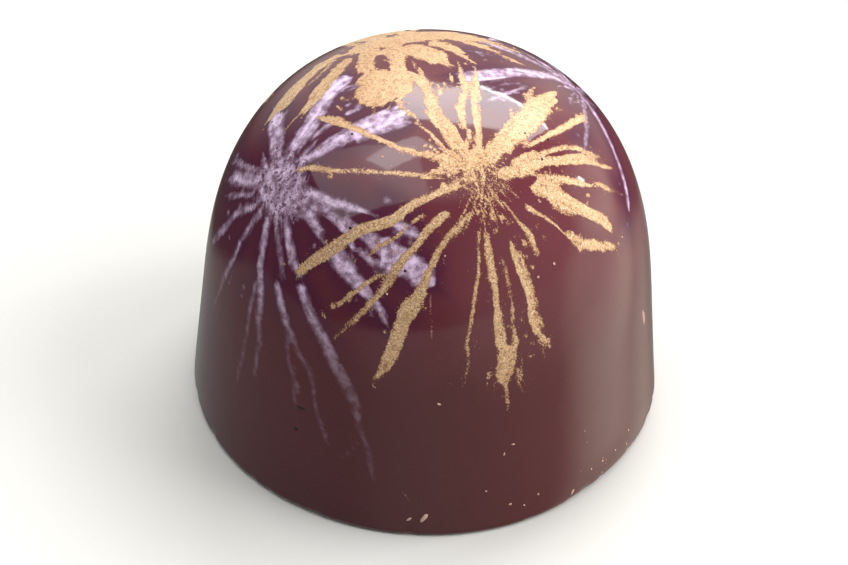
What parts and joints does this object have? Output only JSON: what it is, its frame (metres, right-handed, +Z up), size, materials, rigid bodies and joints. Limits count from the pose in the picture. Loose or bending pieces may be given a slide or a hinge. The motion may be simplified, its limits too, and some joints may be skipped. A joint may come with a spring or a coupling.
{
  "type": "chocolate bonbon",
  "caption": "Moulded dark chocolate bonbon: a tall glossy dome on a drafted round wall with a flat base, finished with blown starbursts of gold and lilac cocoa butter.",
  "frame": {"origin": "middle of the flat base, on the surface that the bonbon stands on", "axes": "+Z up along the dome's axis; -Y towards the decorated front that the picture shows, +X to the right of that front"},
  "size_m": [0.0299, 0.0299, 0.0225],
  "materials": {
    "chocolate": "glossy tempered dark chocolate, deep red-brown, with blown gold and lilac cocoa butter cast flush into the surface"
  },
  "bodies": {
    "root": {"bonbon": "chocolate"}
  },
  "joints": []
}
